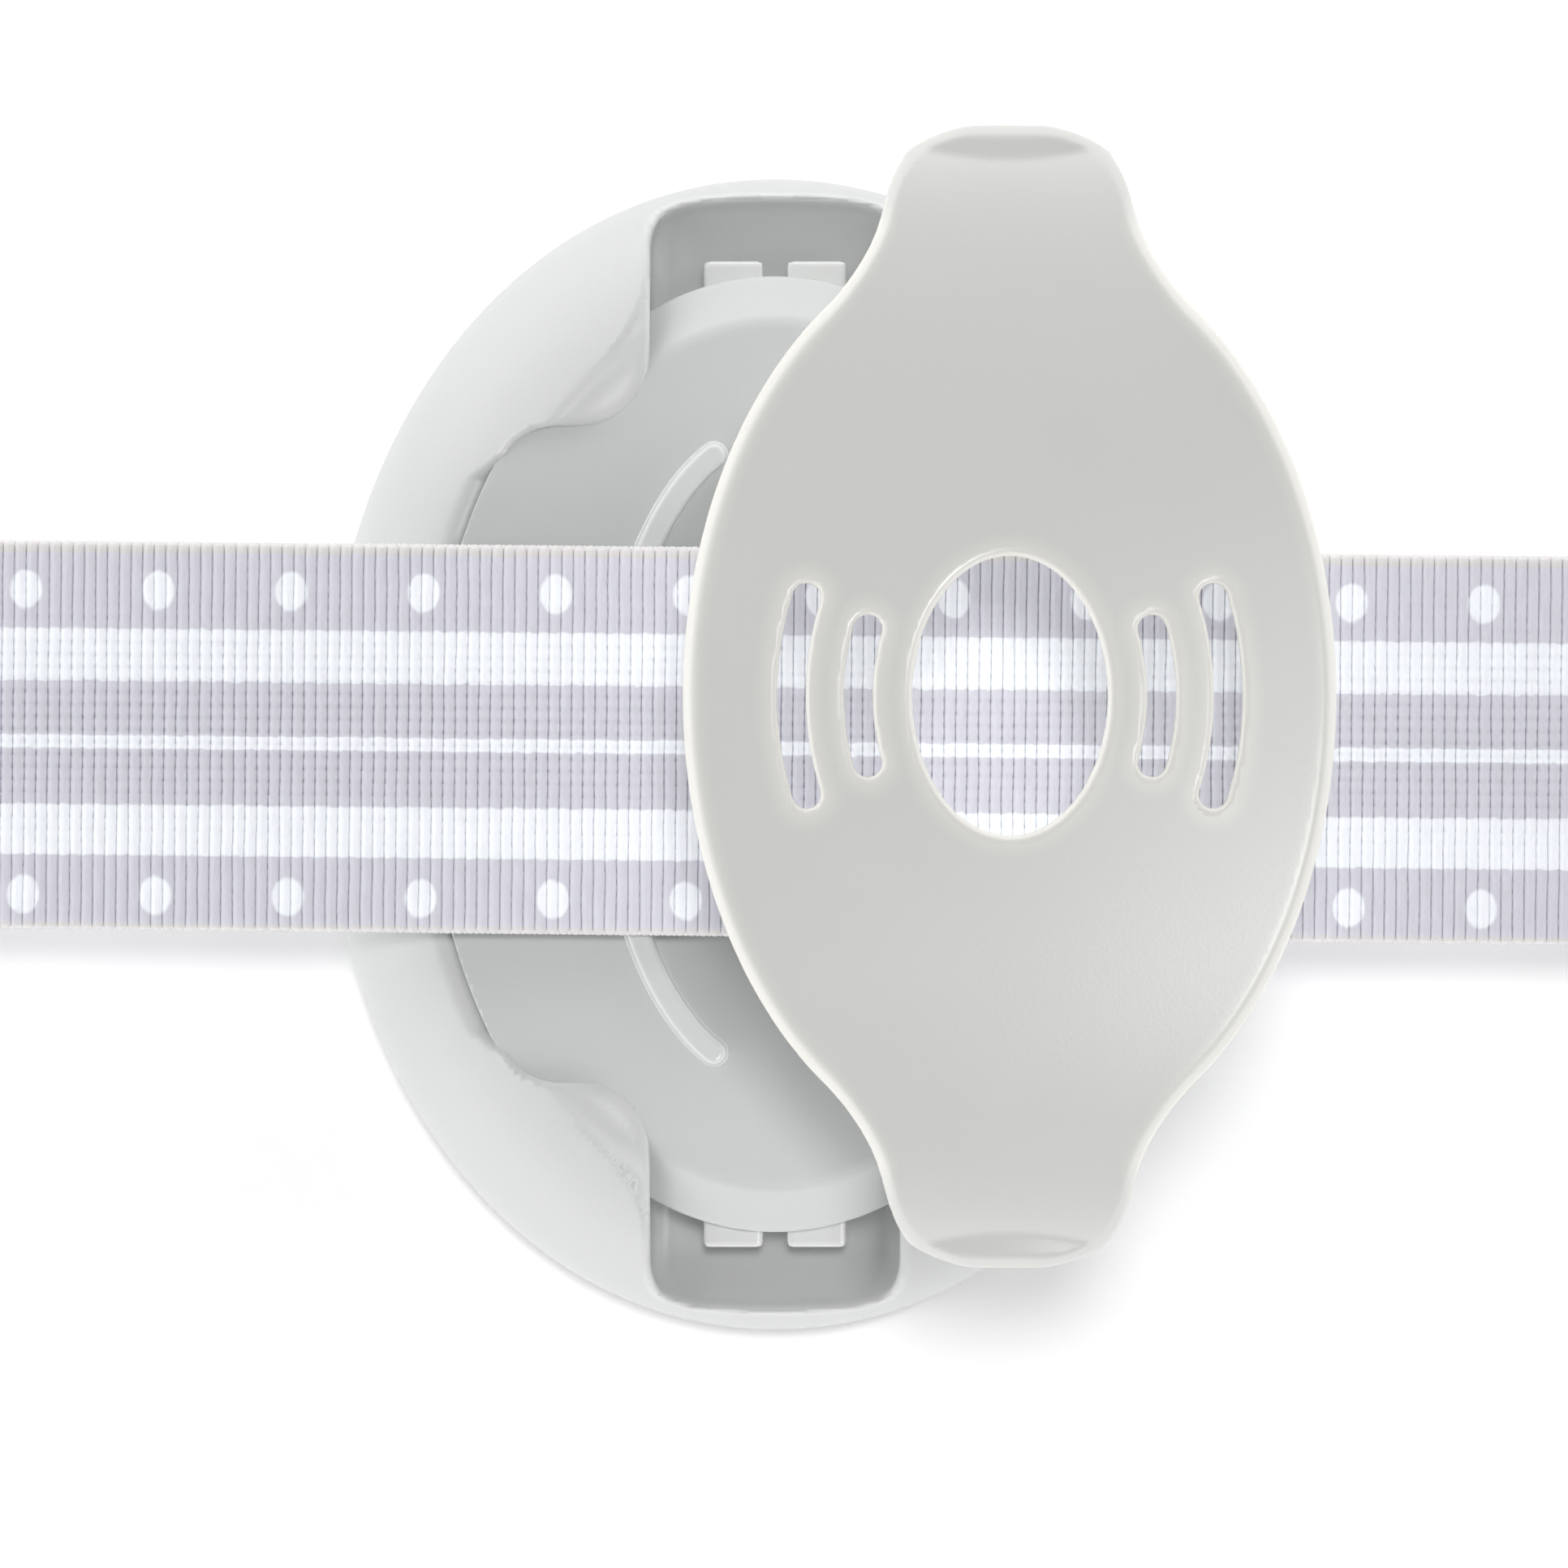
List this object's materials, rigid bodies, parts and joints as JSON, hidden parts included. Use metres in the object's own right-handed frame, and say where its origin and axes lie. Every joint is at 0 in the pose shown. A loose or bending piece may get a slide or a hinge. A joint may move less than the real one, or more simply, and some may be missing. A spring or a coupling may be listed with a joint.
{
  "type": "strap latch pod",
  "caption": "Low oval stick-on latch pod with a woven strap laid across it and an arched snap-fit cover plate, shown lifted off to one side.",
  "frame": {"origin": "centre of the sticky underside", "axes": "+Z away from the panel it sticks to, X along the strap, Y along the pod"},
  "size_m": [0.112, 0.0777, 0.0382],
  "materials": {
    "case_plastic": "fine satin moulded plastic, light cool grey",
    "cover_plastic": "fine satin moulded plastic, light warm grey",
    "platform_plastic": "satin moulded plastic, a shade darker than the case",
    "catch_plastic": "natural white engineering plastic, slightly glossy",
    "grip_rib": "soft grip ribs with a satin sheen",
    "webbing": "flat ribbed webbing, lavender grey with white bands, white dots and beige edges",
    "hook_plastic": "satin moulded plastic",
    "base_plastic": "matte moulded plastic",
    "foam": "closed-cell white foam with a tacky face"
  },
  "bodies": {
    "pod": {"case_shell": "case_plastic", "base_plate": "base_plastic", "adhesive_pad": "foam", "catch_frame": "catch_plastic", "platform": "platform_plastic", "grip_rib_left": "grip_rib", "grip_rib_right": "grip_rib"},
    "strap": {"strap": "webbing"},
    "cover": {"cover_plate": "cover_plastic"},
    "top_hook": {"top_hook": "hook_plastic"},
    "bottom_hook": {"bottom_hook": "hook_plastic"}
  },
  "joints": [
    {"name": "cover_press", "type": "slide", "parent": "pod", "child": "cover", "axis": [-0.5531, -0.1345, -0.8222], "range_m": [0, 0.02676]},
    {"name": "strap_feed", "type": "slide", "parent": "pod", "child": "strap", "axis": [1, 0, 0], "range_m": [-0.01, 0.01]},
    {"name": "top_hook_flex", "type": "hinge", "parent": "cover", "child": "top_hook", "pos_m": [0.0148, 0.03695, 0.03048], "axis": [1, 0, 0], "range_deg": [0, 18], "stiffness_Nm_per_rad": 0.01},
    {"name": "bottom_hook_flex", "type": "hinge", "parent": "cover", "child": "bottom_hook", "pos_m": [0.0148, -0.02975, 0.03048], "axis": [-1, 0, 0], "range_deg": [0, 18], "stiffness_Nm_per_rad": 0.01}
  ]
}
